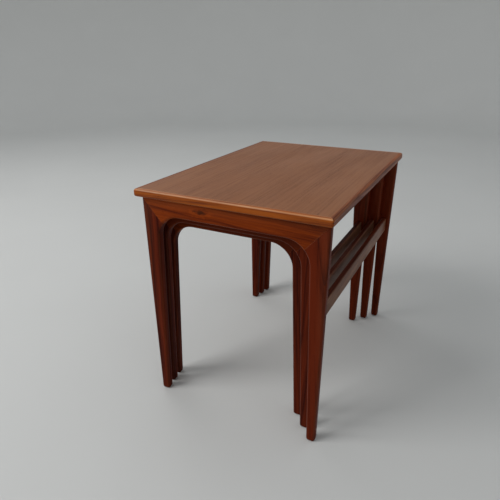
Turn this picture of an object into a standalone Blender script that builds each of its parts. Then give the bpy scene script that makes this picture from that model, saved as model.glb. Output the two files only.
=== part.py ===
"""Nest of three tables, as separate pieces of joinery.

Each table is a veneered panel in mitred solid lippings, screwed down on two end frames.
An end frame is two tapered legs mitred to an end rail, with a loose tongue in each mitre
and a round inner corner. One stretcher is tenoned between the two back legs, so the open
side of each table is clear, and the next smaller table stands inside it.

X runs along the tops, -Y is the open side that the smaller tables come out of, +Y is the
back with the stretchers, and Z is up. The origin is on the floor below the middle of the
largest top. All sizes are in metres.
"""

import math

import bmesh
import bpy
from mathutils import Vector

# Largest table.
TOP_LENGTH = 0.588
TOP_DEPTH = 0.412
TABLE_HEIGHT = 0.490

# Tops of all three tables.
TOP_THICKNESS = 0.016
LIPPING_WIDTH = 0.008
TOP_ARRIS = 0.004
END_OVERHANG = 0.010
OPEN_OVERHANG = 0.0115
BACK_OVERHANG = 0.0065
INNER_END_OVERHANG = 0.008
INNER_OPEN_OVERHANG = 0.001

# How the smaller tables stand in the larger ones.
TABLE_NAMES = ("large", "middle", "small")
SIDE_CLEARANCE = 0.003
HEIGHT_CLEARANCE = 0.0035
STRETCHER_CLEARANCE = 0.004
STAND_OUT = 0.0052

# End frames.
FRAME_THICKNESS = 0.018
RAIL_HEIGHT = 0.036
INNER_CORNER_RADIUS = 0.048
LEG_TOP_WIDTH = 0.034
LEG_TOP_STEP = 0.0015
LEG_FOOT_WIDTH = 0.018
LEG_OUTER_TAPER = 0.006
FRAME_ARRIS = 0.004
MITRE_ANGLE = math.radians(48)
CORNER_STEPS = 8
ARRIS_STEPS = 2

# Stretcher and its tenons.
STRETCHER_LEVEL = 0.294
STRETCHER_HEIGHT = 0.036
STRETCHER_THICKNESS = 0.012
STRETCHER_ARRIS = 0.003
TENON_LENGTH = 0.010
TENON_HEIGHT = 0.026
TENON_THICKNESS = 0.006

# Loose tongues in the mitres.
TONGUE_LENGTH = 0.030
TONGUE_WIDTH = 0.020
TONGUE_THICKNESS = 0.005
TONGUE_SETBACK = 0.035

# Screws from the end rails up into the panel.
SCREW_SPACING = 0.150
SCREW_SHANK = 0.004
SCREW_HEAD = 0.008
SCREW_HEAD_HEIGHT = 0.003
SCREW_POINT = 0.004
SCREW_BITE = 0.009
COUNTERBORE = 0.0096
COUNTERBORE_DEPTH = 0.012
SCREW_SIDES = 12

GAP = 0.0003
PAST = 0.001

FINISHES = {
    "teak_veneer": ((0.235, 0.098, 0.045), 0.42, 0.0),
    "teak_lipping": ((0.360, 0.130, 0.040), 0.40, 0.0),
    "teak_rail": ((0.300, 0.092, 0.026), 0.42, 0.0),
    "teak_leg": ((0.205, 0.052, 0.020), 0.42, 0.0),
    "teak_stretcher": ((0.200, 0.066, 0.034), 0.42, 0.0),
    "beech": ((0.620, 0.430, 0.260), 0.60, 0.0),
    "steel": ((0.560, 0.560, 0.550), 0.35, 1.0),
}


class Table:
    """Sizes of one table, in its own frame: origin on the floor below the middle of its top."""

    def __init__(self, rank, length, depth, height, end_overhang, open_overhang, place):
        self.name = TABLE_NAMES[rank]
        self.leg_top_width = LEG_TOP_WIDTH + rank * LEG_TOP_STEP
        self.length = length
        self.depth = depth
        self.height = height
        self.place = place
        self.underside = height - TOP_THICKNESS
        self.frame_top = self.underside - GAP
        self.end_face = length / 2 - end_overhang
        self.end_middle = self.end_face - FRAME_THICKNESS / 2
        self.inner_face = self.end_face - FRAME_THICKNESS
        self.open_face = -depth / 2 + open_overhang
        self.back_face = depth / 2 - BACK_OVERHANG
        self.frame_middle = (self.open_face + self.back_face) / 2
        self.frame_half_depth = (self.back_face - self.open_face) / 2
        self.rail_underside = self.frame_top - RAIL_HEIGHT
        self.spring = self.rail_underside - INNER_CORNER_RADIUS

    def leg_outside(self, z):
        """Distance of a leg's outer line from the frame's middle, at a height."""
        return self.frame_half_depth - LEG_OUTER_TAPER * (1 - z / self.frame_top)

    def leg_inside(self, z):
        """Distance of a leg's inner line from the frame's middle, at a height."""
        width = LEG_FOOT_WIDTH + (self.leg_top_width - LEG_FOOT_WIDTH) * z / self.spring
        return self.leg_outside(z) - width

    def stretcher_place(self):
        """Y of the stretcher's middle, which is the middle of the back legs at its level."""
        level = STRETCHER_LEVEL
        return self.frame_middle + (self.leg_outside(level) + self.leg_inside(level)) / 2


def tables_of_the_nest():
    """The largest table as it is set, and each smaller one made to stand in the one before."""
    outer = Table(
        0, TOP_LENGTH, TOP_DEPTH, TABLE_HEIGHT, END_OVERHANG, OPEN_OVERHANG, 0.0
    )
    nest = [outer]
    for rank in range(1, len(TABLE_NAMES)):
        length = 2 * (outer.inner_face - SIDE_CLEARANCE)
        height = outer.height - TOP_THICKNESS - HEIGHT_CLEARANCE
        frame_top = height - TOP_THICKNESS - GAP
        stretcher_top = STRETCHER_LEVEL + STRETCHER_HEIGHT / 2
        lean = LEG_OUTER_TAPER * (1 - stretcher_top / frame_top)
        stretcher_front = outer.place + outer.stretcher_place() - STRETCHER_THICKNESS / 2
        back_edge = stretcher_front - STRETCHER_CLEARANCE + lean + BACK_OVERHANG
        open_edge = outer.place + outer.open_face - STAND_OUT - INNER_OPEN_OVERHANG
        outer = Table(
            rank,
            length,
            back_edge - open_edge,
            height,
            INNER_END_OVERHANG,
            INNER_OPEN_OVERHANG,
            (back_edge + open_edge) / 2,
        )
        nest.append(outer)
    return nest


def clear_scene():
    for obj in list(bpy.data.objects):
        bpy.data.objects.remove(obj, do_unlink=True)


def make_finishes():
    """One Principled material for each finish."""
    made = {}
    for name, (colour, roughness, metallic) in FINISHES.items():
        material = bpy.data.materials.new(name)
        material.use_nodes = True
        shader = material.node_tree.nodes["Principled BSDF"]
        shader.inputs["Base Color"].default_value = (*colour, 1.0)
        shader.inputs["Roughness"].default_value = roughness
        shader.inputs["Metallic"].default_value = metallic
        material.diffuse_color = (*colour, 1.0)
        made[name] = material
    return made


def mesh_from(bm, name):
    """A shaded mesh from the edited one, which is freed."""
    bmesh.ops.recalc_face_normals(bm, faces=bm.faces)
    mesh = bpy.data.meshes.new(name)
    bm.to_mesh(mesh)
    bm.free()
    mesh.shade_smooth()
    mesh.set_sharp_from_angle(angle=math.radians(40))
    return mesh


def add_object(name, mesh, parent, location=(0, 0, 0), rotation=(0, 0, 0)):
    obj = bpy.data.objects.new(name, mesh)
    bpy.context.scene.collection.objects.link(obj)
    obj.parent = parent
    obj.location = location
    obj.rotation_euler = rotation
    return obj


def add_piece(name, mesh, material, parent, location=(0, 0, 0), rotation=(0, 0, 0)):
    """A visible piece with its own copy of its finish."""
    obj = add_object(name, mesh.copy(), parent, location, rotation)
    obj.data.name = name
    finish = material.copy()
    finish.name = name + "_" + material.name
    obj.data.materials.append(finish)
    return obj


def add_cutter(name, mesh, parent, location=(0, 0, 0), rotation=(0, 0, 0)):
    """A hidden body that joints are cut with."""
    obj = add_object(name, mesh, parent, location, rotation)
    obj.hide_render = True
    obj.display_type = "WIRE"
    return obj


def cut(piece, cutter):
    modifier = piece.modifiers.new(cutter.name, "BOOLEAN")
    modifier.operation = "DIFFERENCE"
    modifier.solver = "EXACT"
    modifier.object = cutter


def round_edges(bm, edges, radius):
    bmesh.ops.bevel(
        bm,
        geom=list(edges),
        offset=radius,
        offset_type="OFFSET",
        segments=ARRIS_STEPS,
        profile=0.5,
        affect="EDGES",
    )


def box_mesh(name, size, grow=0.0):
    """A block round the origin, grown on every face where it cuts the joint for another."""
    bm = bmesh.new()
    bmesh.ops.create_cube(bm, size=1.0)
    bmesh.ops.scale(bm, vec=[side + 2 * grow for side in size], verts=bm.verts)
    return mesh_from(bm, name)


def turned_mesh(name, profile):
    """A solid of revolution about Z from (radius, z) points that start and end on the axis."""
    bm = bmesh.new()
    points = [bm.verts.new((radius, 0, z)) for radius, z in profile]
    line = [bm.edges.new(pair) for pair in zip(points, points[1:])]
    bmesh.ops.spin(
        bm,
        geom=points + line,
        cent=(0, 0, 0),
        axis=(0, 0, 1),
        angle=math.tau,
        steps=SCREW_SIDES,
    )
    bmesh.ops.remove_doubles(bm, verts=bm.verts, dist=0.00001)
    return mesh_from(bm, name)


def keep_side(bm, point, normal):
    """Cuts the solid at a plane, keeps what lies behind its normal and closes the cut."""
    everything = list(bm.verts) + list(bm.edges) + list(bm.faces)
    result = bmesh.ops.bisect_plane(
        bm, geom=everything, plane_co=point, plane_no=normal, clear_outer=True
    )
    rim = [item for item in result["geom_cut"] if isinstance(item, bmesh.types.BMEdge)]
    bmesh.ops.edgenet_fill(bm, edges=rim)


def half_frame_outline(table):
    """Half an end frame's outline in (y, z) from its middle: round corner, foot, top corner."""
    foot = Vector((table.leg_inside(0), 0))
    spring = Vector((table.leg_inside(table.spring), table.spring))
    along = (spring - foot).normalized()
    inward = Vector((-along.y, along.x))
    radius = INNER_CORNER_RADIUS
    climb = (table.spring - inward.y * radius) / along.y
    centre = foot + inward * radius + along * climb
    last = math.atan2(-inward.y, -inward.x)
    corner = []
    for step in range(CORNER_STEPS + 1):
        angle = math.pi / 2 + (last - math.pi / 2) * step / CORNER_STEPS
        corner.append(centre + radius * Vector((math.cos(angle), math.sin(angle))))
    foot_outside = Vector((table.leg_outside(0), 0))
    top_corner = Vector((table.frame_half_depth, table.frame_top))
    return [*corner, foot, foot_outside, top_corner]


def end_frame(table):
    """A whole end frame before its mitres are cut, round the origin in X and Y."""
    half = half_frame_outline(table)
    outline = half + [Vector((-point.x, point.y)) for point in reversed(half)]
    bm = bmesh.new()
    corners = [bm.verts.new((-FRAME_THICKNESS / 2, y, z)) for y, z in outline]
    side = bm.faces.new(corners)
    pushed = bmesh.ops.extrude_face_region(bm, geom=[side])
    moved = [item for item in pushed["geom"] if isinstance(item, bmesh.types.BMVert)]
    bmesh.ops.translate(bm, vec=(FRAME_THICKNESS, 0, 0), verts=moved)
    bmesh.ops.recalc_face_normals(bm, faces=bm.faces)
    rounded = []
    for edge in bm.edges:
        low, high = sorted(vert.co.z for vert in edge.verts)
        across = abs(edge.verts[0].co.x - edge.verts[1].co.x) > FRAME_THICKNESS / 2
        on_top = low > table.frame_top - GAP
        at_foot = high < GAP
        if at_foot or not (across or on_top):
            rounded.append(edge)
    round_edges(bm, rounded, FRAME_ARRIS)
    return bm


def mitre_plane(table, side, offset):
    """A point on the mitre at one side of a frame, and the normal towards the leg."""
    normal = Vector((0, side * math.sin(MITRE_ANGLE), -math.cos(MITRE_ANGLE)))
    corner = Vector((0, side * table.frame_half_depth, table.frame_top))
    return corner + normal * offset, normal


def rail_mesh(table):
    bm = end_frame(table)
    for side in (-1, 1):
        point, normal = mitre_plane(table, side, -GAP / 2)
        keep_side(bm, point, normal)
    return mesh_from(bm, table.name + "_end_rail")


def leg_mesh(table, side):
    bm = end_frame(table)
    keep_side(bm, (0, 0, 0), (0, -side, 0))
    point, normal = mitre_plane(table, side, GAP / 2)
    keep_side(bm, point, -normal)
    return mesh_from(bm, table.name + "_leg")


def lipping_mesh(table, outward):
    """One edge of the top, mitred into its neighbours, round the middle of the top."""
    board = Vector((table.length, table.depth, TOP_THICKNESS))
    along = Vector((outward.y, outward.x, 0))
    to_edge = abs(outward.dot(board)) / 2
    to_corner = abs(along.dot(board)) / 2
    bm = bmesh.new()
    bmesh.ops.create_cube(bm, size=1.0)
    bmesh.ops.scale(bm, vec=board, verts=bm.verts)
    level = [edge for edge in bm.edges if edge.verts[0].co.z == edge.verts[1].co.z]
    round_edges(bm, level, TOP_ARRIS)
    keep_side(bm, outward * (to_edge - LIPPING_WIDTH), -outward)
    for end in (-1, 1):
        normal = (along * end - outward).normalized()
        corner = outward * to_edge + along * end * to_corner
        keep_side(bm, corner - normal * GAP / 2, normal)
    return mesh_from(bm, table.name + "_lipping")


def stretcher_mesh(table):
    """The stretcher between its shoulders, round the origin."""
    length = 2 * (table.inner_face - GAP)
    bm = bmesh.new()
    bmesh.ops.create_cube(bm, size=1.0)
    bmesh.ops.scale(bm, vec=(length, STRETCHER_THICKNESS, STRETCHER_HEIGHT), verts=bm.verts)
    long_edges = [
        edge for edge in bm.edges if abs(edge.verts[0].co.x - edge.verts[1].co.x) > length / 2
    ]
    round_edges(bm, long_edges, STRETCHER_ARRIS)
    return mesh_from(bm, table.name + "_stretcher")


def screw_mesh(name, reach):
    """A wood screw that points up, its head drawn up to the origin."""
    head, shank = SCREW_HEAD / 2, SCREW_SHANK / 2
    profile = [
        (0, -SCREW_HEAD_HEIGHT - GAP),
        (head, -SCREW_HEAD_HEIGHT - GAP),
        (head, -GAP),
        (shank, -GAP),
        (shank, reach - SCREW_POINT),
        (0, reach),
    ]
    return turned_mesh(name, profile)


def screw_hole_mesh(name, reach):
    """The counterbore, clearance hole and pilot hole round one of the screws."""
    bore, hole = COUNTERBORE / 2, SCREW_SHANK / 2 + GAP
    profile = [
        (0, -COUNTERBORE_DEPTH - PAST),
        (bore, -COUNTERBORE_DEPTH - PAST),
        (bore, 0),
        (hole, 0),
        (hole, reach - SCREW_POINT + GAP),
        (0, reach + 2 * GAP),
    ]
    return turned_mesh(name, profile)


def make_top(table, finishes, stand):
    """The veneered panel and its four lippings, which it returns the panel of."""
    middle = (0, 0, table.underside + TOP_THICKNESS / 2)
    inside = 2 * (LIPPING_WIDTH + GAP)
    size = (table.length - inside, table.depth - inside, TOP_THICKNESS)
    panel = add_piece(
        table.name + "_top_panel",
        box_mesh("panel", size),
        finishes["teak_veneer"],
        stand,
        middle,
    )
    edges = {"right": (1, 0, 0), "left": (-1, 0, 0), "back": (0, 1, 0), "open": (0, -1, 0)}
    for edge, outward in edges.items():
        add_piece(
            f"{table.name}_lipping_{edge}",
            lipping_mesh(table, Vector(outward)),
            finishes["teak_lipping"],
            stand,
            middle,
        )
    return panel


def make_tongue(table, leg, rail, place, side, names, finishes, stand):
    """A loose tongue across one mitre, with its slots in the leg and in the rail."""
    corner = Vector((0, side * table.frame_half_depth, table.frame_top))
    down = Vector((0, -side * math.cos(MITRE_ANGLE), -math.sin(MITRE_ANGLE)))
    location = place + corner + down * TONGUE_SETBACK
    lean = (-side * (math.pi / 2 - MITRE_ANGLE), 0, 0)
    size = (TONGUE_THICKNESS, TONGUE_WIDTH, TONGUE_LENGTH)
    add_piece(
        f"{table.name}_tongue_{names}",
        box_mesh("tongue", size),
        finishes["beech"],
        stand,
        location,
        lean,
    )
    slot = add_cutter(
        f"{table.name}_slot_{names}", box_mesh("slot", size, GAP), stand, location, lean
    )
    cut(leg, slot)
    cut(rail, slot)


def make_screws(table, rail, panel, place, end, finishes, stand):
    """The screws that hold the panel down on one end rail, in their holes."""
    seat = table.rail_underside + COUNTERBORE_DEPTH
    reach = table.underside + SCREW_BITE - seat
    for word, side in (("open", -1), ("back", 1)):
        location = place + Vector((0, side * SCREW_SPACING / 2, seat))
        add_piece(
            f"{table.name}_screw_{end}_{word}",
            screw_mesh("screw", reach),
            finishes["steel"],
            stand,
            location,
        )
        hole = add_cutter(
            f"{table.name}_screw_hole_{end}_{word}",
            screw_hole_mesh("screw_hole", reach),
            stand,
            location,
        )
        cut(rail, hole)
        cut(panel, hole)


def make_end_frame(table, end, x, panel, finishes, stand):
    """An end rail with its two legs, tongues and screws. It returns the back leg."""
    place = Vector((x, table.frame_middle, 0))
    rail = add_piece(
        f"{table.name}_end_rail_{end}", rail_mesh(table), finishes["teak_rail"], stand, place
    )
    for word, side in (("open", -1), ("back", 1)):
        leg = add_piece(
            f"{table.name}_leg_{end}_{word}",
            leg_mesh(table, side),
            finishes["teak_leg"],
            stand,
            place,
        )
        make_tongue(table, leg, rail, place, side, f"{end}_{word}", finishes, stand)
    make_screws(table, rail, panel, place, end, finishes, stand)
    return leg


def make_stretcher(table, back_legs, finishes, stand):
    """The stretcher, with one tenon through its length that stands out at both ends."""
    place = (0, table.stretcher_place(), STRETCHER_LEVEL)
    tenon_size = (2 * (table.inner_face + TENON_LENGTH), TENON_THICKNESS, TENON_HEIGHT)
    stretcher = add_piece(
        table.name + "_stretcher",
        stretcher_mesh(table),
        finishes["teak_stretcher"],
        stand,
        place,
    )
    tenon = add_cutter(table.name + "_tenon", box_mesh("tenon", tenon_size), stand, place)
    modifier = stretcher.modifiers.new("tenon", "BOOLEAN")
    modifier.operation = "UNION"
    modifier.solver = "EXACT"
    modifier.object = tenon
    mortise = add_cutter(
        table.name + "_mortise", box_mesh("mortise", tenon_size, GAP), stand, place
    )
    for leg in back_legs:
        cut(leg, mortise)


def make_table(table, finishes):
    """All the pieces of one table, on an empty at its slide's line through the nest."""
    stand = add_object(table.name + "_table", None, None, (0, table.place, 0))
    panel = make_top(table, finishes, stand)
    ends = (("left", -table.end_middle), ("right", table.end_middle))
    back_legs = [make_end_frame(table, end, x, panel, finishes, stand) for end, x in ends]
    make_stretcher(table, back_legs, finishes, stand)


def main():
    clear_scene()
    finishes = make_finishes()
    for table in tables_of_the_nest():
        make_table(table, finishes)


main()
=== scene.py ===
"""Nest of three teak tables: the finished wood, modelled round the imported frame.

The panels, lippings, legs, end rails and stretchers are shaped here at full finish and stand
for the plain solids of the frame. The loose tongues and the screws, which sit inside the
joints, keep the frame's own solids with finished materials. All lengths are in metres.
"""

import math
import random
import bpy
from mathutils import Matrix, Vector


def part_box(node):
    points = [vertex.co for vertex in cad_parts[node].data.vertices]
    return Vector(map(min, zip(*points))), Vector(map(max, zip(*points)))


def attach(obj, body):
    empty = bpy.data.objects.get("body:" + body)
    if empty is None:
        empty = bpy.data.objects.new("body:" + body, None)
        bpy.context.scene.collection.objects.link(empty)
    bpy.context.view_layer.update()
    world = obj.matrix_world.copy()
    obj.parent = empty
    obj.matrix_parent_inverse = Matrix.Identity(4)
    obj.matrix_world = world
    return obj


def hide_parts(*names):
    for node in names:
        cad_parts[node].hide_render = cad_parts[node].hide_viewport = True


bl_info = {
    "name": "Nesting Tables",
    "version": (1, 0, 0),
    "blender": (4, 5, 0),
    "location": "3D View > Sidebar > Nesting Tables",
    "description": "Finished wood for a nest of three tables",
    "category": "Add Mesh",
}

import bmesh
import bpy
import numpy as np
from bpy.props import FloatProperty, FloatVectorProperty, IntProperty, PointerProperty
from mathutils import Euler, Matrix, Vector

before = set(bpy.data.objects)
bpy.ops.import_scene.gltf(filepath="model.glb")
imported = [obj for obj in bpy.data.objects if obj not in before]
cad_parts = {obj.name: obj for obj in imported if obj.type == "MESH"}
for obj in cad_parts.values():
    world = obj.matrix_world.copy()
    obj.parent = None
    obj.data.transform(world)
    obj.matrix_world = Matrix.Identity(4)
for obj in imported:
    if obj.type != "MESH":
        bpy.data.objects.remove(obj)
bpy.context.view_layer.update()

TABLES = ("large", "middle", "small")
ENDS = ("left", "right")
SIDES = {"open": -1, "back": 1}
OUTWARD = {"right": (1, 0, 0), "left": (-1, 0, 0), "back": (0, 1, 0), "open": (0, -1, 0)}

# Lengths: how near a point is to lie on a plane, when two points are one, how far a finished
# piece may be off its frame solid's box, how far a drill reaches past its work, and the room
# over a screw's point.
NEAR = 0.00005
SAME_POINT = 0.000002
FIT = 0.0012
OVERSHOOT = 0.001
POINT_ROOM = 0.0006
# How squarely a face looks along an axis, and the angles at a sharp, a smooth and a flat edge.
FACING = 0.9
SHARP = 1.0
SMOOTH = math.radians(35)
FLAT = math.radians(0.05)

# The first seed of each kind of board, and how much the colour of two boards may differ at random.
SEEDS = {"rail": 40, "leg": 100, "lipping": 200, "panel": 300, "stretcher": 400}
TONE_SPREAD = 0.12
# The share of the arris paling, partly hand-rubbing and partly painted highlight, that the long
# lippings and the lower arrises of the tops get; less lit, they get less painted highlight.
LONG_LIPPING_WEAR_HIGHLIGHT = 0.5
LOWER_ARRIS_WEAR_HIGHLIGHT = 0.5

FINISH = "_finish"
NUMBER, COLOUR, VECTOR = "NodeSocketFloat", "NodeSocketColor", "NodeSocketVector"
PORE_COLOUR = (0.35, 0.27, 0.24, 1.0)
# Painted highlight, partly standing for hand-rubbing, screened onto the arrises.
WORN_HIGHLIGHT_COLOUR = (0.68, 0.38, 0.20, 1.0)
KNOT_COLOUR = (0.030, 0.007, 0.002, 1.0)
# How often each part of the figure comes in a metre: along the grain, then across it.
WANDER = (2.2, 9, 9)
RIPPLE = (9, 60, 60)
STREAKS = (5, 230, 230)
BLOTCHES = (3.2, 13, 13)
FIBRES = (30, 1500, 1500)
PORES = (75, 1350, 1350)
PATCHES = (14, 40, 40)
SMEARS = (7, 11, 11)
# How far the growth rings are pushed out of round, in metres.
WANDER_PUSH = 0.034
RIPPLE_PUSH = 0.0035
KNOT_PUSH = 0.016
# Each kind of teak: ring width and the strengths of rings, streaks, blotches and pores; then
# the paling of its arrises, partly hand-rubbing and partly painted highlight, roughness where
# dull and where shiny, gloss, and depth of the relief.
FIGURE = ("Ring_Width", "Rings", "Streaks", "Blotches", "Pores")
WOODS = {
    "veneer": ((0.0055, 0.28, 0.42, 0.32, 0.60), (0.0, 0.50, 0.36, 0.34, 0.00010)),
    "lipping": ((0.0040, 0.95, 0.80, 0.60, 0.60), (1.0, 0.48, 0.34, 0.16, 0.00012)),
    "rail": ((0.0060, 1.00, 0.50, 0.55, 0.50), (0.05, 0.52, 0.38, 0.05, 0.00012)),
    "leg": ((0.0065, 1.20, 0.60, 0.45, 0.50), (0.06, 0.52, 0.38, 0.05, 0.00012)),
    "stretcher": ((0.0050, 0.65, 0.50, 0.45, 0.50), (0.35, 0.50, 0.36, 0.09, 0.00012)),
}

# The floor is flat out to its radius, then rises in a quarter circle to an upright wall.
FLOOR_RADIUS = 4.2
FLOOR_RISE = 1.5
FLOOR_STEPS = 12
WALL_HEIGHT = 2.4
LIGHT_AIM = (0, 0, 0.3)
FRONT_LIGHT = {"place": (2.4, -2.3, 2.9), "size": 2.0}
BACK_LIGHT = {"place": (-1.0, -2.0, 2.3), "size": 1.3}


# ---------------------------------------------------------------- sizes and colours


def length(name, description, default):
    return FloatProperty(
        name=name, description=description, default=default, min=0.0, unit="LENGTH", precision=4
    )


def colour(name, description, default):
    return FloatVectorProperty(
        name=name, description=description, default=default, subtype="COLOR", min=0.0, max=1.0
    )


def share(name, description, default, least=0.0, most=1.0):
    return FloatProperty(name=name, description=description, default=default, min=least, max=most)


def in_degrees(name, description, degrees):
    return FloatProperty(
        name=name, description=description, default=math.radians(degrees), subtype="ANGLE"
    )


def position(name, description, default):
    return FloatVectorProperty(
        name=name, description=description, default=default, subtype="TRANSLATION", unit="LENGTH"
    )


class NestFrameSizes(bpy.types.PropertyGroup):
    """Shape of the end frames: legs that taper to the foot, and a round inner corner."""

    rail_height: length("Rail height", "Height of an end rail", 0.036)
    foot_width: length("Foot width", "Width of a leg at the floor", 0.018)
    top_width: length("Top width", "Width of a large leg where its corner springs", 0.034)
    width_step: length("Width step", "How much wider each smaller table's leg is there", 0.0015)
    outer_taper: length("Outer taper", "How far the outside of a leg leans in at the floor", 0.006)
    corner: length("Inner corner", "Radius between a leg and the end rail", 0.048)
    arris: length("Arris", "Radius along the edges of the frames", 0.005)
    mitre: in_degrees("Mitre", "Angle of the mitre", 48)
    seam: length("Seam", "Gap left at a mitre", 0.00006)


class NestTopSizes(bpy.types.PropertyGroup):
    """Shape of the tops and their lippings."""

    upper_arris: length("Upper arris", "Radius along the top edge of a lipping", 0.0048)
    lower_arris: length("Lower arris", "Radius along the bottom edge of a lipping", 0.0036)
    corner: length("Corner", "Radius of the upright corners of a top", 0.0032)
    glue_line: length("Glue line", "Gap left between the veneered panel and its lippings", 0.0001)


class NestStretcherSizes(bpy.types.PropertyGroup):
    """Shape of the stretchers and the tenons on their ends."""

    arris: length("Arris", "Radius along the edges of a stretcher", 0.003)
    tenon_length: length("Tenon length", "How far a tenon goes into its leg", 0.010)
    tenon_height: length("Tenon height", "Height of a tenon", 0.026)
    tenon_thickness: length("Tenon thickness", "Thickness of a tenon", 0.006)
    clearance: length("Clearance", "Room round a tenon, tongue or screw in its hole", 0.0003)
    counterbore: length("Counterbore", "Radius of the hole that a screw's head goes in", 0.0048)
    counterbore_depth: length("Counterbore depth", "Depth of that hole", 0.012)
    shank_hole: length("Shank hole", "Radius of the hole that a screw's shank goes in", 0.0023)


class NestWoodColours(bpy.types.PropertyGroup):
    """The light and dark wood of each kind of piece."""

    veneer_light: colour("Veneer, light", "Light wood of the tops", (0.290, 0.100, 0.027))
    veneer_dark: colour("Veneer, dark", "Dark wood of the tops", (0.182, 0.056, 0.013))
    lipping_light: colour("Lipping, light", "Light wood of the lippings", (0.330, 0.074, 0.004))
    lipping_dark: colour("Lipping, dark", "Dark wood of the lippings", (0.118, 0.018, 0.002))
    rail_light: colour("Rail, light", "Light wood of the end rails", (0.248, 0.039, 0.003))
    rail_dark: colour("Rail, dark", "Dark wood of the end rails", (0.100, 0.013, 0.002))
    leg_light: colour("Leg, light", "Light wood of the legs", (0.122, 0.015, 0.003))
    leg_dark: colour("Leg, dark", "Dark wood of the legs", (0.043, 0.004, 0.001))
    stretcher_light: colour("Stretcher, light", "Light wood of a stretcher", (0.125, 0.024, 0.010))
    stretcher_dark: colour("Stretcher, dark", "Dark wood of a stretcher", (0.050, 0.008, 0.004))
    # Painted shade on the long lippings.
    long_lipping_painted_shade: share("Long lipping tone", "How much darker the long lippings are", 0.14)
    # Painted shade on the rails of the nested inner tables.
    inner_rail_painted_shade: share("Inner rail tone", "How much darker the inner tables' rails are", 0.62)
    # Painted shade: the large rails are darkened towards the back.
    rail_painted_shade_drift: share("Rail drift", "How much darker the large rails grow to the back", 0.40)
    right_leg_tone: share("Right leg tone", "How much darker the right end's legs are", 0.12)
    back_leg_tone: share(
        "Back leg tone", "How much darker the back legs are; lighter below 0", -0.13, least=-1.0
    )
    knot_place: position("Knot place", "Where a knot is in the rails", (0.284, -0.0565, 0.4585))
    knot_reach: position("Knot reach", "How far it turns the grain aside", (0.006, 0.034, 0.012))
    beech_light: colour("Beech, light", "Light wood of the tongues", (0.640, 0.450, 0.270))
    beech_dark: colour("Beech, dark", "Dark wood of the tongues", (0.450, 0.270, 0.140))
    steel: colour("Steel", "Metal of the screws", (0.560, 0.550, 0.530))


class NestStudio(bpy.types.PropertyGroup):
    """Floor, soft lights and camera."""

    floor: colour("Floor", "Pale grey of the floor", (0.63, 0.63, 0.615))
    sky: colour("Sky", "Colour of the light from all round", (0.93, 0.97, 1.0))
    sky_strength: share("Sky strength", "Light from all round", 0.54, most=10.0)
    front_power: share("Front power", "Watts of the front soft light", 88.0, most=1000.0)
    back_power: share("Back power", "Watts of the back soft light", 8.0, most=1000.0)
    camera_place: position("Camera place", "Where the camera stands", (0.9730, 0.4060, 0.7381))
    heading: in_degrees("Heading", "Compass angle of the view", 117.38)
    pitch: in_degrees("Pitch", "How far the view looks down", 23.36)
    roll: in_degrees("Roll", "Lean of the picture", -0.34)
    lens: FloatProperty(name="Lens", description="Focal length", default=33.15, unit="CAMERA")


class NestSettings(bpy.types.PropertyGroup):
    """Everything that a user may change, and the fineness of the meshes."""

    frames: PointerProperty(name="End frames", description="End frames", type=NestFrameSizes)
    tops: PointerProperty(name="Tops", description="Tops", type=NestTopSizes)
    bars: PointerProperty(name="Stretchers", description="Stretchers", type=NestStretcherSizes)
    wood: PointerProperty(name="Wood", description="Colours of the wood", type=NestWoodColours)
    studio: PointerProperty(name="Studio", description="Floor and lights", type=NestStudio)
    arris_steps: IntProperty(
        name="Arris steps", description="Facets round an arris", default=5, min=1, max=12
    )
    corner_steps: IntProperty(
        name="Corner steps", description="Facets round an inner corner", default=24, min=4, max=64
    )


# ---------------------------------------------------------------- modelling by hand


def select_only(obj):
    bpy.ops.object.select_all(action="DESELECT")
    obj.select_set(True)
    bpy.context.view_layer.objects.active = obj


def edit(obj):
    select_only(obj)
    bpy.ops.object.mode_set(mode="EDIT")


def done():
    bpy.ops.object.mode_set(mode="OBJECT")


def pick(obj, kind, test):
    """Selects what passes the test, of the mesh in edit mode, and returns its average point.

    Nothing found is an error.
    """
    bpy.ops.mesh.select_mode(type=kind)
    bpy.ops.mesh.select_all(action="DESELECT")
    mesh = bmesh.from_edit_mesh(obj.data)
    mesh.normal_update()
    items = {"VERT": mesh.verts, "EDGE": mesh.edges, "FACE": mesh.faces}[kind]
    chosen = [item for item in items if test(item)]
    if not chosen:
        raise RuntimeError(f"{obj.name}: nothing to select")
    for item in chosen:
        item.select_set(True)
    mesh.select_flush_mode()
    points = [vert.co for vert in mesh.verts if vert.select]
    average = sum(points, Vector()) / len(points)
    bmesh.update_edit_mesh(obj.data)
    return average


def put(obj, test, target):
    """Moves the picked points together, so that the middle of them is at the target in Y and Z."""
    middle = pick(obj, "VERT", test)
    bpy.ops.transform.translate(value=(0, target[0] - middle.y, target[1] - middle.z))


def block(name, low, high):
    """A block between two corners, its object at the origin."""
    bpy.ops.object.select_all(action="DESELECT")
    low, high = Vector(low), Vector(high)
    bpy.ops.mesh.primitive_cube_add(size=1, location=(low + high) / 2, scale=high - low)
    made = bpy.context.object
    made.name = name
    bpy.ops.object.transform_apply(location=True, rotation=True, scale=True)
    return made


def copy_of(obj, name):
    """A copy with its own mesh."""
    select_only(obj)
    bpy.ops.object.duplicate()
    made = bpy.context.object
    made.name = name
    return made


def remove(obj):
    bpy.data.objects.remove(obj, do_unlink=True)


def edge_angle(edge):
    return edge.calc_face_angle(0.0)


def middle_of(edge):
    return (edge.verts[0].co + edge.verts[1].co) / 2


def run_of(edge):
    return edge.verts[1].co - edge.verts[0].co


def round_off(radius, segments, **settings):
    """Rounds the selected edges."""
    bpy.ops.mesh.bevel(
        offset=radius,
        offset_type="OFFSET",
        segments=segments,
        profile=0.5,
        affect="EDGES",
        **settings,
    )


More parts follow.
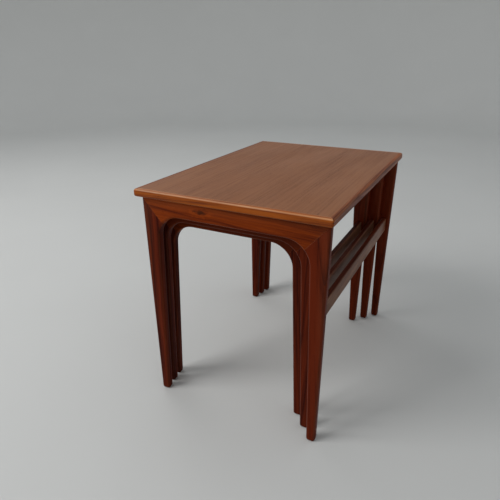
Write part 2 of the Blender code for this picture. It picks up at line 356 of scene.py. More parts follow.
def saw(obj, point, normal):
    """Cuts the piece at a plane and keeps what lies behind the normal."""
    edit(obj)
    bpy.ops.mesh.select_all(action="SELECT")
    bpy.ops.mesh.bisect(
        plane_co=point,
        plane_no=Vector(normal).normalized(),
        use_fill=True,
        clear_outer=True,
        threshold=SAME_POINT,
    )
    done()


def combine(piece, other, operation="DIFFERENCE"):
    """Cuts another solid out of the piece, or grows it on, and uses the other up."""
    select_only(piece)
    modifier = piece.modifiers.new("combine", "BOOLEAN")
    modifier.operation = operation
    modifier.solver = "EXACT"
    modifier.object = other
    bpy.ops.object.modifier_apply(modifier=modifier.name)
    remove(other)


def grown_copy(node, growth):
    """A copy of a frame solid, its loose triangles merged, that is bigger all round."""
    made = copy_of(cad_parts[node], node + ".cutter")
    edit(made)
    bpy.ops.mesh.select_all(action="SELECT")
    bpy.ops.mesh.remove_doubles(threshold=SAME_POINT)
    bpy.ops.mesh.normals_make_consistent(inside=False)
    bpy.ops.transform.shrink_fatten(value=growth, use_even_offset=True)
    done()
    return made


def drill(centre, radius, low, high):
    """A round cutter that stands up from one height to another."""
    bpy.ops.object.select_all(action="DESELECT")
    bpy.ops.mesh.primitive_cylinder_add(
        vertices=32,
        radius=radius,
        depth=high - low,
        location=(centre.x, centre.y, (low + high) / 2),
    )
    return bpy.context.object


# ---------------------------------------------------------------- boards


class Board:
    """How the wood of a piece lies: which way the grain runs, and where in the log it was."""

    def __init__(self, grain, across, seed, pith, lean, tone=0.0, shade_drift=0.0, wear_and_highlight=1.0):
        draw = random.Random(seed)
        self.grain = Vector(grain)
        self.across = Vector(across)
        self.through = self.grain.cross(self.across)
        turn = draw.uniform(0.6, 2.4)
        self.offset = Vector(
            (draw.uniform(-4, 4), pith * math.cos(turn), pith * math.sin(turn) + 0.01)
        )
        tilt = [math.radians(lean) * draw.uniform(-1, 1) for _ in range(2)]
        self.tilt = Euler((0, tilt[0], tilt[1])).to_matrix()
        # Own colour varied at random, plus any painted shade that the board is given.
        self.tone = tone + draw.uniform(-TONE_SPREAD, TONE_SPREAD)
        self.shade_drift = shade_drift
        self.wear_and_highlight = wear_and_highlight

    def matrix(self):
        rows = Matrix((self.grain, self.across, self.through))
        return self.tilt @ rows


def vertex_vectors(mesh, name):
    values = np.empty(len(mesh.vertices) * 3, np.float32)
    mesh.vertices.foreach_get(name, values)
    return values.reshape(-1, 3)


def lay_grain(obj, board, arris_axis):
    """Writes each point's place in the log, its own colour with any painted shade, and how far it
    is onto an arris, scaled by its share of arris paling and painted highlight.

    The painted shade changes evenly from one end of the grain to the other.
    """
    mesh = obj.data
    places = vertex_vectors(mesh, "co")
    middle = (places.min(0) + places.max(0)) / 2
    turned = (places - middle) @ np.array(board.matrix()).T + np.array(board.offset)
    along = (places - middle) @ np.array(board.grain)
    # Own colour plus a painted shade that changes evenly along the grain.
    tone = board.tone + board.shade_drift * along / np.ptp(along)
    normals = vertex_vectors(mesh, "normal")
    side = np.abs(normals[:, arris_axis])
    rest = np.sqrt(np.clip(1 - side**2, 0, 1))
    arris = np.clip(np.minimum(side, rest) / math.sqrt(0.5), 0, 1)
    # Lower arrises are less lit and get less painted highlight.
    if arris_axis == 2:
        arris = np.where(normals[:, 2] < 0, arris * LOWER_ARRIS_WEAR_HIGHLIGHT, arris)
    # The board's share of arris paling and painted highlight.
    arris *= board.wear_and_highlight
    for name, kind, values in (
        ("board", "FLOAT_VECTOR", turned),
        ("arris", "FLOAT", arris),
        ("tone", "FLOAT", tone),
    ):
        attribute = mesh.attributes.new(name, kind, "POINT")
        field = "vector" if kind == "FLOAT_VECTOR" else "value"
        attribute.data.foreach_set(field, values.astype(np.float32).ravel())


def check_fit(obj, node):
    """The finished piece must fill the box of the frame solid that it stands for."""
    low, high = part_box(node)
    corners = [Vector(corner) for corner in obj.bound_box]
    for axis in range(3):
        found_low = min(corner[axis] for corner in corners)
        found_high = max(corner[axis] for corner in corners)
        worst = max(abs(found_low - low[axis]), abs(found_high - high[axis]))
        if worst > FIT:
            raise RuntimeError(f"{obj.name} is {worst * 1000:.2f} mm off {node} on axis {axis}")


def finish_board(obj, node, slot, body, board, arris_axis):
    """Cleans and shades a shaped piece, gives it its wood and puts it on its body."""
    edit(obj)
    bpy.ops.mesh.select_all(action="SELECT")
    bpy.ops.mesh.remove_doubles(threshold=SAME_POINT)
    bpy.ops.mesh.normals_make_consistent(inside=False)
    done()
    bpy.ops.object.shade_smooth_by_angle(angle=SMOOTH)
    modifier = obj.modifiers.new("even shading", "WEIGHTED_NORMAL")
    modifier.keep_sharp = True
    bpy.ops.object.modifier_apply(modifier=modifier.name)
    obj.name = node + ".wood"
    obj.data.name = obj.name
    lay_grain(obj, board, arris_axis)
    obj.data.materials.clear()
    obj.data.materials.append(bpy.data.materials[slot + FINISH])
    check_fit(obj, node)
    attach(obj, body)
    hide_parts(node)


# ---------------------------------------------------------------- materials


class Wiring:
    """Places nodes in one tree and joins their sockets."""

    def __init__(self, tree):
        self.tree = tree
        self.column = 0

    def add(self, kind, **settings):
        made = self.tree.nodes.new(kind)
        self.column += 1
        made.location = (self.column * 180, 0)
        for name, value in settings.items():
            setattr(made, name, value)
        return made

    def feed(self, socket, value):
        if isinstance(value, bpy.types.NodeSocket):
            self.tree.links.new(value, socket)
        else:
            socket.default_value = value

    def math(self, operation, first, second=0.0, third=0.0, clamp=False):
        made = self.add("ShaderNodeMath", operation=operation, use_clamp=clamp)
        for socket, value in zip(made.inputs, (first, second, third)):
            self.feed(socket, value)
        return made.outputs[0]

    def stretch(self, vector, scale, shift=(0, 0, 0)):
        """The vector times one scale, plus another."""
        made = self.add("ShaderNodeVectorMath", operation="MULTIPLY_ADD")
        self.feed(made.inputs[0], vector)
        self.feed(made.inputs[1], scale)
        self.feed(made.inputs[2], shift)
        return made.outputs[0]

    def noise(self, vector, scale=1.0, detail=2.0, roughness=0.5):
        made = self.add("ShaderNodeTexNoise")
        self.feed(made.inputs["Vector"], vector)
        self.feed(made.inputs["Scale"], scale)
        self.feed(made.inputs["Detail"], detail)
        self.feed(made.inputs["Roughness"], roughness)
        return made.outputs["Fac"]

    def between(self, value, low, high, out_low=0.0, out_high=1.0, smooth=True):
        """The value's place between two limits, spread between two others."""
        made = self.add("ShaderNodeMapRange")
        made.interpolation_type = "SMOOTHSTEP" if smooth else "LINEAR"
        for name, part in (
            ("Value", value),
            ("From Min", low),
            ("From Max", high),
            ("To Min", out_low),
            ("To Max", out_high),
        ):
            self.feed(made.inputs[name], part)
        return made.outputs["Result"]


def colour_mix(wiring, factor, first, second, mode="MIX"):
    """A mix of two colours, by the colour sockets of the Mix node."""
    made = wiring.add("ShaderNodeMix", data_type="RGBA", blend_type=mode, clamp_factor=True)
    colours = [socket for socket in made.inputs if socket.type == "RGBA"]
    wiring.feed(made.inputs[0], factor)
    wiring.feed(colours[0], first)
    wiring.feed(colours[1], second)
    return [socket for socket in made.outputs if socket.type == "RGBA"][0]


def new_group(name, inputs, outputs):
    """A shader node group with named sockets, and its wiring, way in and way out."""
    group = bpy.data.node_groups.new(name, "ShaderNodeTree")
    for way, kinds in (("INPUT", inputs), ("OUTPUT", outputs)):
        for kind, sockets in kinds.items():
            for socket in sockets:
                group.interface.new_socket(name=socket, in_out=way, socket_type=kind)
    wiring = Wiring(group)
    return wiring, wiring.add("NodeGroupInput").outputs, wiring.add("NodeGroupOutput").inputs


def build_figure_group():
    """The figure of one log: growth rings, streaks along the grain, pores and slow tone."""
    wiring, given, out = new_group(
        "Wood Figure",
        {
            VECTOR: ("Board",),
            COLOUR: ("Light", "Dark"),
            NUMBER: ("Tone", "Ring Width", "Rings", "Streaks", "Blotches", "Pores", "Knot"),
        },
        {COLOUR: ("Color",), NUMBER: ("Relief", "Dullness")},
    )
    board = given["Board"]
    wander = wiring.noise(wiring.stretch(board, WANDER))
    ripple = wiring.noise(wiring.stretch(board, RIPPLE, (5, 0, 0)))
    across = wiring.add("ShaderNodeVectorMath", operation="LENGTH")
    wiring.feed(across.inputs[0], wiring.stretch(board, (0, 1, 1)))
    radius = wiring.math("MULTIPLY_ADD", wander, WANDER_PUSH, across.outputs["Value"])
    radius = wiring.math("MULTIPLY_ADD", ripple, RIPPLE_PUSH, radius)
    radius = wiring.math("MULTIPLY_ADD", given["Knot"], KNOT_PUSH, radius)
    count = wiring.math("DIVIDE", radius, given["Ring Width"])
    along = wiring.add("ShaderNodeSeparateXYZ")
    wiring.feed(along.inputs[0], board)
    ring_place = wiring.add("ShaderNodeCombineXYZ")
    wiring.feed(ring_place.inputs[0], count)
    wiring.feed(ring_place.inputs[1], wiring.math("MULTIPLY", along.outputs[0], 1.2))
    bands = wiring.noise(ring_place.outputs[0], scale=0.42, detail=3.0, roughness=0.6)
    bands = wiring.between(bands, 0.36, 0.66)
    late = wiring.between(wiring.math("FRACT", count), 0.45, 1.0)
    late = wiring.math("MULTIPLY", late, wiring.between(bands, 0.2, 0.9, 0.35, 1.0))
    rings = wiring.math("MULTIPLY_ADD", late, 0.45, wiring.math("MULTIPLY", bands, 0.55))
    streaks = wiring.noise(wiring.stretch(board, STREAKS), detail=4.0, roughness=0.6)
    streaks = wiring.between(streaks, 0.34, 0.68)
    blotches = wiring.noise(wiring.stretch(board, BLOTCHES, (0, 7, 3)), detail=3.0)
    blotches = wiring.between(blotches, 0.30, 0.70)
    fibre = wiring.noise(wiring.stretch(board, FIBRES))
    pores = wiring.noise(wiring.stretch(board, PORES, (3, 1, 9)), detail=1.0)
    pores = wiring.between(pores, 0.60, 0.72)
    pores = wiring.math("MULTIPLY", pores, wiring.between(rings, 0.1, 0.7, 0.25, 1.0))
    dark = wiring.math("MULTIPLY", wiring.math("SUBTRACT", rings, 0.42), given["Rings"])
    for part, weight in (
        (streaks, given["Streaks"]),
        (blotches, given["Blotches"]),
        (fibre, 0.35),
    ):
        dark = wiring.math("MULTIPLY_ADD", wiring.math("SUBTRACT", part, 0.5), weight, dark)
    # The Tone input brings the board's own colour and any painted shade.
    dark = wiring.math("ADD", wiring.math("ADD", dark, 0.5), given["Tone"], clamp=True)
    core = wiring.between(given["Knot"], 0.50, 1.0)
    wood = colour_mix(wiring, dark, given["Light"], given["Dark"])
    pore_share = wiring.math("MULTIPLY", pores, given["Pores"])
    wood = colour_mix(wiring, pore_share, wood, PORE_COLOUR, "MULTIPLY")
    wood = colour_mix(wiring, wiring.math("MULTIPLY", core, 0.85), wood, KNOT_COLOUR)
    wiring.feed(out["Color"], wood)
    relief = wiring.math("MULTIPLY_ADD", pores, -0.8, wiring.math("MULTIPLY", fibre, 0.3))
    relief = wiring.math("MULTIPLY_ADD", rings, 0.25, relief)
    wiring.feed(out["Relief"], relief)
    dull = wiring.math("MULTIPLY_ADD", pores, 0.3, wiring.math("MULTIPLY", dark, 0.4))
    wiring.feed(out["Dullness"], dull)


def build_wear_highlight_group():
    """Arrises paled by hand-rubbing and by painted highlight: paler and shinier than the faces,
    more so in patches.
    """
    wiring, given, out = new_group(
        "Rubbed Arris",
        {COLOUR: ("Color",), VECTOR: ("Board",), NUMBER: ("Arris", "Wear")},
        {COLOUR: ("Color",), NUMBER: ("Worn",)},
    )
    patches = wiring.noise(wiring.stretch(given["Board"], PATCHES, (2, 2, 2)), detail=3.0)
    patches = wiring.between(patches, 0.35, 0.70, 0.55, 1.0)
    worn_highlit = wiring.between(given["Arris"], 0.25, 0.95)
    worn_highlit = wiring.math("MULTIPLY", wiring.math("MULTIPLY", worn_highlit, patches), given["Wear"])
    # Painted highlight, partly for hand-rubbing: the wood screened towards a pale orange.
    paler = colour_mix(wiring, 0.6, given["Color"], WORN_HIGHLIGHT_COLOUR, "SCREEN")
    wiring.feed(out["Color"], colour_mix(wiring, worn_highlit, given["Color"], paler))
    wiring.feed(out["Worn"], worn_highlit)


def use_group(wiring, name, **given):
    made = wiring.add("ShaderNodeGroup", node_tree=bpy.data.node_groups[name])
    for socket, value in given.items():
        wiring.feed(made.inputs[socket.replace("_", " ")], value)
    return made.outputs


def own_value(wiring, name, output):
    made = wiring.add("ShaderNodeAttribute", attribute_name=name)
    return made.outputs[output]


def opaque(value):
    return (*value, 1.0)


def near_knot(wiring, place, reach):
    """One at the middle of a knot, falling to nothing at its reach."""
    point = wiring.add("ShaderNodeTexCoord").outputs["Object"]
    scale = [1 / part for part in reach]
    shift = [-part / size for part, size in zip(place, reach)]
    distance = wiring.add("ShaderNodeVectorMath", operation="LENGTH")
    wiring.feed(distance.inputs[0], wiring.stretch(point, scale, shift))
    ragged = wiring.noise(wiring.stretch(point, (90, 160, 420)))
    ragged = wiring.math("MULTIPLY_ADD", ragged, 0.7, -0.35)
    spread = wiring.math("ADD", distance.outputs["Value"], ragged)
    return wiring.between(spread, 0.0, 1.0, 1.0, 0.0)


def start_material(name):
    """A new material, its wiring and its shader's sockets."""
    material = bpy.data.materials.new(name)
    material.use_nodes = True
    shader = material.node_tree.nodes["Principled BSDF"]
    return material, Wiring(material.node_tree), shader.inputs


def add_relief(wiring, shader, height, depth, strength=1.0):
    """Bumps the surface by a height mask, this many metres deep."""
    bump = wiring.add("ShaderNodeBump")
    bump.inputs["Strength"].default_value = strength
    bump.inputs["Distance"].default_value = depth
    wiring.feed(bump.inputs["Height"], height)
    wiring.feed(shader["Normal"], bump.outputs["Normal"])


def wood_material(name, light, dark, figure, wear_and_highlight, dull, shiny, gloss, relief, knot=None):
    """One kind of oiled wood on the pieces' own board coordinates."""
    material, wiring, shader = start_material(name + FINISH)
    board = own_value(wiring, "board", "Vector")
    wood = use_group(
        wiring,
        "Wood Figure",
        Board=board,
        Tone=own_value(wiring, "tone", "Fac"),
        Light=opaque(light),
        Dark=opaque(dark),
        Knot=near_knot(wiring, *knot) if knot else 0.0,
        **figure,
    )
    # Arrises paled by hand-rubbing and by painted highlight.
    rubbed_highlit = use_group(
        wiring,
        "Rubbed Arris",
        Color=wood["Color"],
        Board=board,
        Arris=own_value(wiring, "arris", "Fac"),
        Wear=wear_and_highlight,
    )
    wiring.feed(shader["Base Color"], rubbed_highlit["Color"])
    smears = wiring.noise(wiring.stretch(board, SMEARS, (9, 4, 1)), detail=3.0)
    rough = wiring.between(wood["Dullness"], 0.1, 0.6, shiny, dull, smooth=False)
    rough = wiring.math("MULTIPLY_ADD", wiring.math("SUBTRACT", smears, 0.5), 0.12, rough)
    rough = wiring.math("MULTIPLY_ADD", rubbed_highlit["Worn"], -0.06, rough)
    wiring.feed(shader["Roughness"], rough)
    add_relief(wiring, shader, wood["Relief"], relief, strength=0.55)
    shader["Specular IOR Level"].default_value = gloss
    material.diffuse_color = opaque(light)


def steel_material(name, steel):
    """Drawn steel of the screws, with fine turning marks and a little dark tarnish."""
    material, wiring, shader = start_material(name + FINISH)
    place = wiring.add("ShaderNodeTexCoord").outputs["Object"]
    tarnish = wiring.noise(wiring.stretch(place, (300, 300, 120)), detail=4.0)
    tarnish = wiring.between(tarnish, 0.42, 0.70)
    turned = wiring.noise(wiring.stretch(place, (80, 80, 4200)), detail=1.0)
    darker = [part * 0.45 for part in steel]
    metal = colour_mix(wiring, tarnish, opaque(steel), opaque(darker))
    wiring.feed(shader["Base Color"], metal)
    wiring.feed(shader["Roughness"], wiring.between(tarnish, 0.0, 1.0, 0.30, 0.60))
    add_relief(wiring, shader, turned, 0.00005)
    shader["Metallic"].default_value = 1.0
    material.diffuse_color = opaque(steel)


def beech_material(name, light, dark):
    """Bare beech of the loose tongues: pale, with short darker flecks."""
    material, wiring, shader = start_material(name + FINISH)
    place = wiring.add("ShaderNodeTexCoord").outputs["Object"]
    flecks = wiring.noise(wiring.stretch(place, (260, 900, 900)))
    flecks = wiring.between(flecks, 0.50, 0.68)
    slow = wiring.noise(wiring.stretch(place, (30, 120, 120)), detail=3.0)
    mixed = wiring.math("MULTIPLY_ADD", flecks, 0.5, wiring.math("MULTIPLY", slow, 0.6))
    wiring.feed(shader["Base Color"], colour_mix(wiring, mixed, opaque(light), opaque(dark)))
    wiring.feed(shader["Roughness"], wiring.between(slow, 0.3, 0.7, 0.55, 0.72))
    add_relief(wiring, shader, flecks, 0.0001)
    material.diffuse_color = opaque(light)


class NEST_OT_finishes(bpy.types.Operator):
    """Make the oiled teak of each kind of piece, the beech and the steel"""

    bl_idname = "nest.finishes"
    bl_label = "Finishes"

    def execute(self, context):
        wood = context.scene.nest.wood
        build_figure_group()
        build_wear_highlight_group()
        for kind, (figure, surface) in WOODS.items():
            wood_material(
                "teak_" + kind,
                getattr(wood, kind + "_light"),
                getattr(wood, kind + "_dark"),
                dict(zip(FIGURE, figure)),
                *surface,
                knot=(wood.knot_place, wood.knot_reach) if kind == "rail" else None,
            )
        beech_material("beech", wood.beech_light, wood.beech_dark)
        steel_material("steel", wood.steel)
        return {"FINISHED"}


# ---------------------------------------------------------------- end frames


class EndFrame:
    """Lines of one table's end frames, across from the middle of the frame."""

    def __init__(self, table, sizes):
        rank = TABLES.index(table)
        rail_low, rail_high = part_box(f"{table}_end_rail_right")
        open_low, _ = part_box(f"{table}_leg_right_open")
        _, back_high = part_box(f"{table}_leg_right_back")
        self.table = table
        self.sizes = sizes
        self.top = rail_high.z
        self.rail_underside = rail_high.z - sizes.rail_height
        self.near_face = rail_low.x
        self.far_face = rail_high.x
        self.middle = (open_low.y + back_high.y) / 2
        self.half = (back_high.y - open_low.y) / 2
        self.spring = self.rail_underside - sizes.corner
        self.top_width = sizes.top_width + rank * sizes.width_step

    def outside(self, z):
        return self.half - self.sizes.outer_taper * (1 - z / self.top)

    def inside(self, z):
        foot = self.sizes.foot_width
        return self.outside(z) - foot - (self.top_width - foot) * z / self.spring

    def corner_setback(self):
        """How far the round corner starts from the sharp one, for its radius."""
        lean = math.atan2(self.inside(0) - self.inside(self.spring), self.spring)
        return self.sizes.corner / math.tan((math.pi / 2 + lean) / 2)

    def mitre(self, side, offset):
        """A point on the mitre on one side of the frame, and the normal towards the leg."""
        angle = self.sizes.mitre
        normal = Vector((0, side * math.sin(angle), -math.cos(angle)))
        corner = Vector((0, self.middle + side * self.half, self.top))
        return corner + normal * offset, normal


def shape_arch(lines, settings):
    """A whole end frame in one piece: leg, corner and half rail, mirrored and rounded."""
    sizes = settings.frames
    spring, under, top = lines.spring, lines.rail_underside, lines.top
    low = (lines.near_face, lines.inside(0), 0)
    high = (lines.far_face, lines.outside(0), spring)
    arch = block(lines.table + ".arch", low, high)
    edit(arch)
    edge = lines.outside(0) - NEAR
    inner, outer = (lines.inside(spring), spring), (lines.outside(spring), spring)
    put(arch, lambda v: v.co.z > spring - NEAR and v.co.y < edge, inner)
    put(arch, lambda v: v.co.z > spring - NEAR and v.co.y >= edge, outer)
    for below, above in ((spring, under), (under, top)):
        level = below - NEAR
        pick(arch, "FACE", lambda f: f.normal.z > FACING and f.calc_center_median().z > level)
        bpy.ops.mesh.extrude_region_move(TRANSFORM_OT_translate={"value": (0, 0, above - below)})
        halfway = (lines.inside(below) + lines.outside(below)) / 2
        inner, outer = (lines.inside(above), above), (lines.outside(above), above)
        put(arch, lambda v: v.co.z > above - NEAR and v.co.y < halfway, inner)
        put(arch, lambda v: v.co.z > above - NEAR and v.co.y > halfway, outer)
    corner_height = (under + top) / 2
    near_middle = lines.inside(top) / 4
    pick(arch, "FACE", lambda f: f.normal.y < -FACING and f.calc_center_median().z > under)
    bpy.ops.mesh.extrude_region_move(TRANSFORM_OT_translate={"value": (0, -lines.inside(top), 0)})
    put(arch, lambda v: v.co.y < near_middle and v.co.z < corner_height, (0, under))
    put(arch, lambda v: v.co.y < near_middle and v.co.z > corner_height, (0, top))
    pick(arch, "FACE", lambda f: f.normal.y < -FACING and f.calc_center_median().y < NEAR)
    bpy.ops.mesh.delete(type="FACE")
    done()
    mirror = arch.modifiers.new("other leg", "MIRROR")
    mirror.use_axis = (False, True, False)
    mirror.merge_threshold = NEAR
    bpy.ops.object.modifier_apply(modifier=mirror.name)
    edit(arch)
    bpy.ops.mesh.select_all(action="SELECT")
    bpy.ops.mesh.dissolve_limited(angle_limit=FLAT)
    width = lines.far_face - lines.near_face
    reach = lines.inside(under) + NEAR
    pick(
        arch,
        "EDGE",
        lambda e: abs(run_of(e).x) > width / 2
        and abs(middle_of(e).z - under) < NEAR
        and abs(middle_of(e).y) < reach
        and edge_angle(e) > SHARP,
    )
    round_off(lines.corner_setback(), settings.corner_steps, clamp_overlap=False)
    pick(arch, "EDGE", lambda e: is_frame_arris(e, width, top))
    round_off(sizes.arris, settings.arris_steps)
    done()
    arch.location.y = lines.middle
    bpy.ops.object.transform_apply(location=True, rotation=False, scale=False)
    return arch


def is_frame_arris(edge, width, top):
    """The long edges of both faces and the four edges of a foot, but not the top edges."""
    if edge_angle(edge) < SHARP:
        return False
    if max(vert.co.z for vert in edge.verts) < NEAR:
        return True
    across = abs(run_of(edge).x) > width / 2
    on_top = min(vert.co.z for vert in edge.verts) > top - NEAR
    return not (across or on_top)


def shape_frame_pieces(lines, arch, end, settings):
    """Saws one arch into its rail and two legs, and cuts their joints."""
    table, sizes, bars = lines.table, settings.frames, settings.bars
    half_gap = sizes.seam / 2
    body = table + "_table"
    rail = copy_of(arch, f"{table}_{end}_rail")
    for side in SIDES.values():
        point, normal = lines.mitre(side, -half_gap)
        saw(rail, point, normal)
    seat = lines.rail_underside + bars.counterbore_depth
    for word in SIDES:
        combine(rail, grown_copy(f"{table}_tongue_{end}_{word}", bars.clearance))
        low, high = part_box(f"{table}_screw_{end}_{word}")
        centre = (low + high) / 2
        for radius, bottom, height in (
            (bars.counterbore, lines.rail_underside - OVERSHOOT, seat),
            (bars.shank_hole, seat - OVERSHOOT, high.z + bars.clearance),
        ):
            combine(rail, drill(centre, radius, bottom, height))
    end_number = ENDS.index(end)
    rank = TABLES.index(table)
    # Inner tables' rails get painted shade; the large rails a painted shade darkening to the back.
    board = Board(
        (0, 1, 0),
        (0, 0, 1),
        SEEDS["rail"] + rank * 2 + end_number,
        pith=0.045,
        lean=2.0,
        tone=settings.wood.inner_rail_painted_shade if rank else 0.0,
        shade_drift=0.0 if rank else settings.wood.rail_painted_shade_drift,
    )
    finish_board(rail, f"{table}_end_rail_{end}", "teak_rail", body, board, 0)
    for number, (word, side) in enumerate(SIDES.items()):
        leg = copy_of(arch, f"{table}_{end}_{word}_leg")
        saw(leg, (0, lines.middle, 0), (0, -side, 0))
        point, normal = lines.mitre(side, half_gap)
        saw(leg, point, -normal)
        combine(leg, grown_copy(f"{table}_tongue_{end}_{word}", bars.clearance))
        if word == "back":
            combine(leg, tenon_block(table, bars, bars.clearance))
        seed = SEEDS["leg"] + rank * 8 + end_number * 4 + number
        tone = settings.wood.back_leg_tone * side
        tone += settings.wood.right_leg_tone * OUTWARD[end][0]
        board = Board((0, 0, 1), (0, 1, 0), seed, pith=0.055, lean=2.6, tone=tone)
        finish_board(leg, f"{table}_leg_{end}_{word}", "teak_leg", body, board, 0)


class NEST_OT_end_frames(bpy.types.Operator):
    """Shape the end frames of all three tables: tapered legs mitred to round-cornered rails"""

    bl_idname = "nest.end_frames"
    bl_label = "End frames"

    def execute(self, context):
        settings = context.scene.nest
        for table in TABLES:
            lines = EndFrame(table, settings.frames)
            arch = shape_arch(lines, settings)
            shape_frame_pieces(lines, arch, "right", settings)
            _, left_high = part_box(f"{table}_end_rail_left")
            select_only(arch)
            arch.location.x = left_high.x - lines.far_face
            bpy.ops.object.transform_apply(location=True, rotation=False, scale=False)
            shape_frame_pieces(lines, arch, "left", settings)
            remove(arch)
        return {"FINISHED"}


# ---------------------------------------------------------------- tops


def shape_top_board(low, high, settings):
    """A whole top in one board: its edges rounded over, then its upright corners."""
    tops = settings.tops
    board = block("top.board", low, high)
    edit(board)
    for normal, radius in ((1, tops.upper_arris), (-1, tops.lower_arris)):
        pick(board, "FACE", lambda f: f.normal.z * normal > FACING)
        bpy.ops.mesh.region_to_loop()
        round_off(radius, settings.arris_steps + 1)
    pick(board, "EDGE", lambda e: abs(abs(run_of(e).x) - abs(run_of(e).y)) < SAME_POINT)
    round_off(tops.corner, 4)
    done()
    return board


def shape_top(table, settings):
    """The veneered panel and the four lippings, mitred at the corners."""
    body = table + "_table"
    rank = TABLES.index(table)
    boxes = [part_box(f"{table}_lipping_{edge}") for edge in OUTWARD]
    low = Vector([min(box[0][axis] for box in boxes) for axis in range(3)])
    high = Vector([max(box[1][axis] for box in boxes) for axis in range(3)])
    middle = (low + high) / 2
    half = (high - low) / 2
    whole = shape_top_board(low, high, settings)
    for number, (edge, direction) in enumerate(OUTWARD.items()):
        outward = Vector(direction)
        along = Vector((outward.y, outward.x, 0))
        strip_low, strip_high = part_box(f"{table}_lipping_{edge}")
        width = abs(outward.dot(strip_high - strip_low))
        reach = abs(outward.dot(half))
        lipping = copy_of(whole, f"{table}_{edge}_strip")
        saw(lipping, middle + outward * (reach - width), -outward)
        for end in (-1, 1):
            normal = (along * end - outward).normalized()
            corner = middle + outward * reach + along * end * abs(along.dot(half))
            saw(lipping, corner - normal * settings.frames.seam / 2, normal)
        long = abs(along.x)
        # Long lippings get painted shade and a smaller share of painted highlight on their
        # arrises.
        board = Board(
            (long, abs(along.y), 0),
            (0, 0, 1),
            SEEDS["lipping"] + rank * 4 + number,
            pith=0.03,
            lean=2.2,
            tone=settings.wood.long_lipping_painted_shade * long,
            wear_and_highlight=LONG_LIPPING_WEAR_HIGHLIGHT if long else 1.0,
        )
        finish_board(lipping, f"{table}_lipping_{edge}", "teak_lipping", body, board, 2)
    remove(whole)
    shape_panel(table, settings)


def shape_panel(table, settings):
    """The panel between the lippings, with its pilot holes for the screws."""
    rank = TABLES.index(table)
    bars = settings.bars
    grow = Vector((1, 1, 0)) * (bars.clearance - settings.tops.glue_line)
    low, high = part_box(f"{table}_top_panel")
    panel = block(table + ".panel", low - grow, high + grow)
    edit(panel)
    pick(panel, "FACE", lambda f: abs(f.normal.z) > FACING)
    bpy.ops.mesh.inset(thickness=settings.tops.upper_arris, depth=0.0)
    pick(panel, "EDGE", lambda e: on_rim(e, low - grow, high + grow))
    round_off(settings.tops.glue_line, 1)
    done()
    for end in ENDS:
        for word in SIDES:
            screw_low, screw_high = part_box(f"{table}_screw_{end}_{word}")
            centre = (screw_low + screw_high) / 2
            tip = screw_high.z + POINT_ROOM
            combine(panel, drill(centre, bars.shank_hole, low.z - OVERSHOOT, tip))
    board = Board((1, 0, 0), (0, 1, 0), SEEDS["panel"] + rank, pith=0.09, lean=0.8)
    board.tone = 0.0
    finish_board(panel, f"{table}_top_panel", "teak_veneer", table + "_table", board, 2)


def on_rim(edge, low, high):
    """An edge of the panel's top or bottom that lies on its outline."""
    middle = middle_of(edge)
    sides = min(middle.x - low.x, high.x - middle.x, middle.y - low.y, high.y - middle.y)
    return sides < NEAR and abs(run_of(edge).z) < NEAR


class NEST_OT_tops(bpy.types.Operator):
    """Shape the veneered panels and the rounded lippings of all three tops"""

    bl_idname = "nest.tops"
    bl_label = "Tops"

    def execute(self, context):
        for table in TABLES:
            shape_top(table, context.scene.nest)
        return {"FINISHED"}


# ---------------------------------------------------------------- stretchers and fixings


def tenon_block(table, bars, growth):
    """A bar through both tenons of a stretcher, bigger all round where it cuts mortises."""
    low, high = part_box(f"{table}_stretcher")
    middle = (low + high) / 2
    half = Vector(((high.x - low.x) / 2, bars.tenon_thickness / 2, bars.tenon_height / 2))
    half += Vector((growth, growth, growth))
    return block("tenons", middle - half, middle + half)


def shape_stretcher(table, settings):
    """A bar rounded along its edges, with a tenon at each end."""
    bars = settings.bars
    low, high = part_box(f"{table}_stretcher")
    shoulder = Vector((bars.tenon_length + bars.clearance, 0, 0))
    bar = block(table + ".bar", low + shoulder, high - shoulder)
    edit(bar)
    pick(bar, "EDGE", lambda e: abs(run_of(e).x) > (high.x - low.x) / 2)
    round_off(bars.arris, settings.arris_steps)
    done()
    combine(bar, tenon_block(table, bars, 0.0), "UNION")
    seed = SEEDS["stretcher"] + TABLES.index(table)
    board = Board((1, 0, 0), (0, 0, 1), seed, pith=0.05, lean=1.2)
    finish_board(bar, f"{table}_stretcher", "teak_stretcher", table + "_table", board, 1)


class NEST_OT_stretchers(bpy.types.Operator):
    """Shape the stretcher between the back legs of each table"""

    bl_idname = "nest.stretchers"
    bl_label = "Stretchers"

    def execute(self, context):
        for table in TABLES:
            shape_stretcher(table, context.scene.nest)
        return {"FINISHED"}


class NEST_OT_fixings(bpy.types.Operator):
    """Give the loose tongues their beech and the screws their steel"""

    bl_idname = "nest.fixings"
    bl_label = "Tongues and screws"

    def execute(self, context):
        for table in TABLES:
            for end in ENDS:
                for word in SIDES:
                    for kind, material in (("tongue", "beech"), ("screw", "steel")):
                        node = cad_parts[f"{table}_{kind}_{end}_{word}"]
                        for place in node.material_slots:
                            place.material = bpy.data.materials[material + FINISH]
        return {"FINISHED"}


# ---------------------------------------------------------------- studio


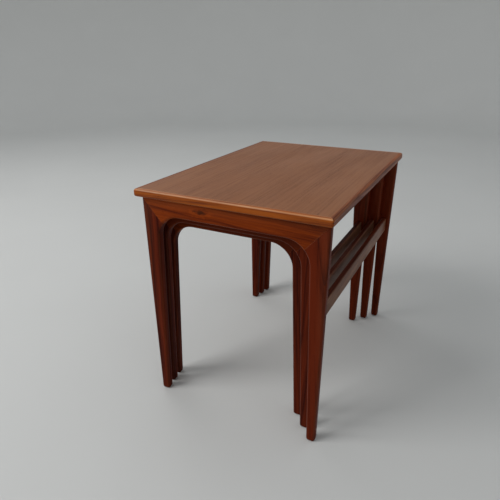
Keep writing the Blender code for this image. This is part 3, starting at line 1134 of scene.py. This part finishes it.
def shape_sweep(studio):
    """A round pale floor that curves up into a low wall far from the tables."""
    bpy.ops.object.select_all(action="DESELECT")
    bpy.ops.mesh.primitive_circle_add(vertices=96, radius=FLOOR_RADIUS, fill_type="NOTHING")
    sweep = bpy.context.object
    sweep.name = "studio_floor"
    edit(sweep)
    bpy.ops.mesh.select_all(action="SELECT")
    for step in range(FLOOR_STEPS):
        old, new = (math.pi / 2 * number / FLOOR_STEPS for number in (step, step + 1))
        climb = FLOOR_RISE * (math.cos(old) - math.cos(new))
        inner, outer = (FLOOR_RADIUS + FLOOR_RISE * math.sin(angle) for angle in (old, new))
        ratio = outer / inner
        bpy.ops.mesh.extrude_region_move(TRANSFORM_OT_translate={"value": (0, 0, climb)})
        bpy.ops.transform.resize(value=(ratio, ratio, 1), center_override=(0, 0, 0))
    bpy.ops.mesh.extrude_region_move(TRANSFORM_OT_translate={"value": (0, 0, WALL_HEIGHT)})
    pick(sweep, "VERT", lambda v: v.co.z < NEAR)
    bpy.ops.mesh.edge_face_add()
    bpy.ops.mesh.select_all(action="SELECT")
    bpy.ops.mesh.normals_make_consistent(inside=True)
    done()
    bpy.ops.object.shade_smooth()
    material, wiring, shader = start_material("studio_floor")
    place = wiring.add("ShaderNodeTexCoord").outputs["Object"]
    scuffs = wiring.noise(wiring.stretch(place, (1.6, 1.6, 1.6)), detail=4.0)
    darker = [part * 0.93 for part in studio.floor]
    grey = colour_mix(wiring, scuffs, opaque(studio.floor), opaque(darker))
    wiring.feed(shader["Base Color"], grey)
    shader["Roughness"].default_value = 0.6
    shader["Specular IOR Level"].default_value = 0.3
    sweep.data.materials.append(material)


def add_soft_light(name, power, place, size):
    bpy.ops.object.light_add(type="AREA", location=place)
    lamp = bpy.context.object
    lamp.name = name
    lamp.data.size = size
    lamp.visible_camera = False
    lamp.data.energy = power
    lamp.rotation_mode = "QUATERNION"
    lamp.rotation_quaternion = (Vector(LIGHT_AIM) - Vector(place)).to_track_quat("-Z", "Y")


class NEST_OT_studio(bpy.types.Operator):
    """Lay the floor, hang the soft lights and stand the camera"""

    bl_idname = "nest.studio"
    bl_label = "Studio"

    def execute(self, context):
        studio = context.scene.nest.studio
        shape_sweep(studio)
        world = bpy.data.worlds.new("studio_sky")
        context.scene.world = world
        world.use_nodes = True
        background = world.node_tree.nodes["Background"]
        background.inputs["Color"].default_value = opaque(studio.sky)
        background.inputs["Strength"].default_value = studio.sky_strength
        add_soft_light("front_soft_light", studio.front_power, **FRONT_LIGHT)
        add_soft_light("back_soft_light", studio.back_power, **BACK_LIGHT)
        bpy.ops.object.camera_add()
        camera = bpy.context.object
        camera.name = "camera"
        turn = Matrix.Rotation(studio.heading, 4, "Z")
        turn @= Matrix.Rotation(math.pi / 2 - studio.pitch, 4, "X")
        turn @= Matrix.Rotation(studio.roll, 4, "Z")
        camera.matrix_world = Matrix.Translation(studio.camera_place) @ turn
        camera.data.lens = studio.lens
        camera.data.clip_end = 50
        context.scene.camera = camera
        context.scene.view_settings.view_transform = "Standard"
        return {"FINISHED"}


# ---------------------------------------------------------------- add-on


class NEST_PT_tables(bpy.types.Panel):
    """Lists the steps that build the nest"""

    bl_idname = "NEST_PT_tables"
    bl_label = "Nesting Tables"
    bl_space_type = "VIEW_3D"
    bl_region_type = "UI"
    bl_category = "Nesting Tables"

    def draw(self, context):
        for step in STEPS:
            self.layout.operator(step.bl_idname)


STEPS = (
    NEST_OT_finishes,
    NEST_OT_end_frames,
    NEST_OT_tops,
    NEST_OT_stretchers,
    NEST_OT_fixings,
    NEST_OT_studio,
)
CLASSES = (
    NestFrameSizes,
    NestTopSizes,
    NestStretcherSizes,
    NestWoodColours,
    NestStudio,
    NestSettings,
    *STEPS,
    NEST_PT_tables,
)


def register():
    for made in CLASSES:
        bpy.utils.register_class(made)
    bpy.types.Scene.nest = PointerProperty(
        name="Nest", description="Sizes and colours of the nest", type=NestSettings
    )


def unregister():
    del bpy.types.Scene.nest
    for made in reversed(CLASSES):
        bpy.utils.unregister_class(made)


def main():
    register()
    bpy.ops.nest.finishes()
    bpy.ops.nest.end_frames()
    bpy.ops.nest.tops()
    bpy.ops.nest.stretchers()
    bpy.ops.nest.fixings()
    bpy.ops.nest.studio()


if __name__ == "__main__":
    main()
